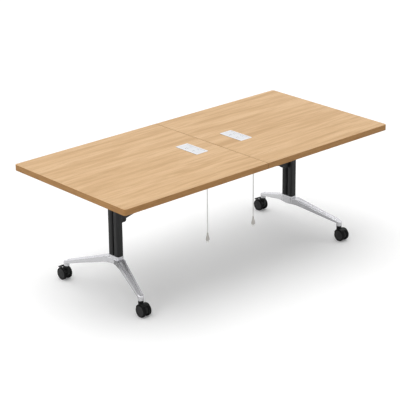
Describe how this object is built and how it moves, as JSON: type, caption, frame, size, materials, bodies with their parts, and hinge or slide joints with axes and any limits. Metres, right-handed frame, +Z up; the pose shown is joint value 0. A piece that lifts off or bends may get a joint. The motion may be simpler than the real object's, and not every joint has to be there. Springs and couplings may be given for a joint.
{
  "type": "flip top training table",
  "caption": "Long wooden table whose top, with power modules and hanging leads, flips upright on pivot heads over cast V bases on swivelling twin-wheel casters.",
  "frame": {"origin": "on the floor under the middle of the top", "axes": "+X along the table's length, +Y towards the back edge, +Z up"},
  "size_m": [2.1, 1, 0.752],
  "materials": {
    "oak_top": "satin oak laminate with fine grain along the length",
    "oak_edge": "matching edge band",
    "black_coat": "fine textured black powder coat",
    "cast_aluminium": "polished casting",
    "steel": "plain turned steel",
    "black_plastic": "moulded nylon",
    "wheel_black": "matt tread",
    "white_plastic": "white moulded plastic",
    "grey_cord": "pale grey cord jacket",
    "rubber": "matt pad"
  },
  "bodies": {
    "frame": {"left_base": "cast_aluminium", "left_front_column": "black_coat", "left_rear_column": "black_coat", "left_pivot_head": "black_coat", "left_stop_pad": "rubber", "left_pivot_shaft": "steel", "left_beam_socket": "black_coat", "right_base": "cast_aluminium", "right_front_column": "black_coat", "right_rear_column": "black_coat", "right_pivot_head": "black_coat", "right_stop_pad": "rubber", "right_pivot_shaft": "steel", "right_beam_socket": "black_coat", "stretcher_beam": "black_coat", "left_front_caster_stem": "steel", "left_rear_caster_stem": "steel", "right_front_caster_stem": "steel", "right_rear_caster_stem": "steel"},
    "top": {"left_top_panel": "oak_top", "right_top_panel": "oak_top", "left_edge_band": "oak_edge", "right_edge_band": "oak_edge", "front_rail": "black_coat", "rear_rail": "black_coat", "left_support_arm": "black_coat", "right_support_arm": "black_coat", "left_module_bezel": "white_plastic", "left_module_insert": "white_plastic", "left_module_housing": "white_plastic", "left_lead_gland": "grey_cord", "right_module_bezel": "white_plastic", "right_module_insert": "white_plastic", "right_module_housing": "white_plastic", "right_lead_gland": "grey_cord"},
    "left_lead": {"left_lead_cord": "grey_cord", "left_lead_plug": "grey_cord"},
    "right_lead": {"right_lead_cord": "grey_cord", "right_lead_plug": "grey_cord"},
    "left_lever": {"left_clamp_lever": "black_plastic"},
    "right_lever": {"right_clamp_lever": "black_plastic"},
    "left_front_caster": {"left_front_caster_web": "black_plastic", "left_front_caster_axle": "steel"},
    "left_rear_caster": {"left_rear_caster_web": "black_plastic", "left_rear_caster_axle": "steel"},
    "right_front_caster": {"right_front_caster_web": "black_plastic", "right_front_caster_axle": "steel"},
    "right_rear_caster": {"right_rear_caster_web": "black_plastic", "right_rear_caster_axle": "steel"},
    "left_front_outer_wheel": {"left_front_outer_wheel": "wheel_black"},
    "left_front_inner_wheel": {"left_front_inner_wheel": "wheel_black"},
    "left_rear_outer_wheel": {"left_rear_outer_wheel": "wheel_black"},
    "left_rear_inner_wheel": {"left_rear_inner_wheel": "wheel_black"},
    "right_front_outer_wheel": {"right_front_outer_wheel": "wheel_black"},
    "right_front_inner_wheel": {"right_front_inner_wheel": "wheel_black"},
    "right_rear_outer_wheel": {"right_rear_outer_wheel": "wheel_black"},
    "right_rear_inner_wheel": {"right_rear_inner_wheel": "wheel_black"},
    "left_rear_pedal": {"left_rear_brake_pedal": "black_plastic"},
    "right_rear_pedal": {"right_rear_brake_pedal": "black_plastic"}
  },
  "joints": [
    {"name": "top_flip", "type": "hinge", "parent": "frame", "child": "top", "pos_m": [0, -0.051, 0.68], "axis": [1, 0, 0], "range_deg": [0, 90]},
    {"name": "left_lead_swing", "type": "hinge", "parent": "top", "child": "left_lead", "pos_m": [-0.14, -0.1553, 0.656], "axis": [1, 0, 0], "range_deg": [-90, 0]},
    {"name": "right_lead_swing", "type": "hinge", "parent": "top", "child": "right_lead", "pos_m": [0.238, -0.1553, 0.656], "axis": [1, 0, 0], "range_deg": [-90, 0]},
    {"name": "left_lever_turn", "type": "hinge", "parent": "frame", "child": "left_lever", "pos_m": [-0.6744, -0.051, 0.68], "axis": [-1, 0, 0], "range_deg": [0, 60]},
    {"name": "right_lever_turn", "type": "hinge", "parent": "frame", "child": "right_lever", "pos_m": [0.6744, -0.051, 0.68], "axis": [-1, 0, 0], "range_deg": [0, 60]},
    {"name": "left_front_swivel", "type": "hinge", "parent": "frame", "child": "left_front_caster", "pos_m": [-0.818, -0.334, 0.09], "axis": [0, 0, 1], "continuous": true},
    {"name": "left_rear_swivel", "type": "hinge", "parent": "frame", "child": "left_rear_caster", "pos_m": [-0.818, 0.35, 0.09], "axis": [0, 0, 1], "continuous": true},
    {"name": "right_front_swivel", "type": "hinge", "parent": "frame", "child": "right_front_caster", "pos_m": [0.818, -0.334, 0.09], "axis": [0, 0, 1], "continuous": true},
    {"name": "right_rear_swivel", "type": "hinge", "parent": "frame", "child": "right_rear_caster", "pos_m": [0.818, 0.35, 0.09], "axis": [0, 0, 1], "continuous": true},
    {"name": "left_front_outer_spin", "type": "hinge", "parent": "left_front_caster", "child": "left_front_outer_wheel", "pos_m": [-0.818, -0.357, 0.0375], "axis": [1, 0, 0], "continuous": true},
    {"name": "left_front_inner_spin", "type": "hinge", "parent": "left_front_caster", "child": "left_front_inner_wheel", "pos_m": [-0.818, -0.357, 0.0375], "axis": [1, 0, 0], "continuous": true},
    {"name": "left_rear_outer_spin", "type": "hinge", "parent": "left_rear_caster", "child": "left_rear_outer_wheel", "pos_m": [-0.818, 0.373, 0.0375], "axis": [1, 0, 0], "continuous": true},
    {"name": "left_rear_inner_spin", "type": "hinge", "parent": "left_rear_caster", "child": "left_rear_inner_wheel", "pos_m": [-0.818, 0.373, 0.0375], "axis": [1, 0, 0], "continuous": true},
    {"name": "right_front_outer_spin", "type": "hinge", "parent": "right_front_caster", "child": "right_front_outer_wheel", "pos_m": [0.818, -0.357, 0.0375], "axis": [1, 0, 0], "continuous": true},
    {"name": "right_front_inner_spin", "type": "hinge", "parent": "right_front_caster", "child": "right_front_inner_wheel", "pos_m": [0.818, -0.357, 0.0375], "axis": [1, 0, 0], "continuous": true},
    {"name": "right_rear_outer_spin", "type": "hinge", "parent": "right_rear_caster", "child": "right_rear_outer_wheel", "pos_m": [0.818, 0.373, 0.0375], "axis": [1, 0, 0], "continuous": true},
    {"name": "right_rear_inner_spin", "type": "hinge", "parent": "right_rear_caster", "child": "right_rear_inner_wheel", "pos_m": [0.818, 0.373, 0.0375], "axis": [1, 0, 0], "continuous": true},
    {"name": "left_rear_pedal_press", "type": "hinge", "parent": "left_rear_caster", "child": "left_rear_pedal", "pos_m": [-0.818, 0.373, 0.082], "axis": [-1, 0, 0], "range_deg": [-14, 0]},
    {"name": "right_rear_pedal_press", "type": "hinge", "parent": "right_rear_caster", "child": "right_rear_pedal", "pos_m": [0.818, 0.373, 0.082], "axis": [-1, 0, 0], "range_deg": [-14, 0]}
  ],
  "couplings": [
    {"joint": "left_lead_swing", "follows": "top_flip", "ratio": -1},
    {"joint": "right_lead_swing", "follows": "top_flip", "ratio": -1}
  ]
}
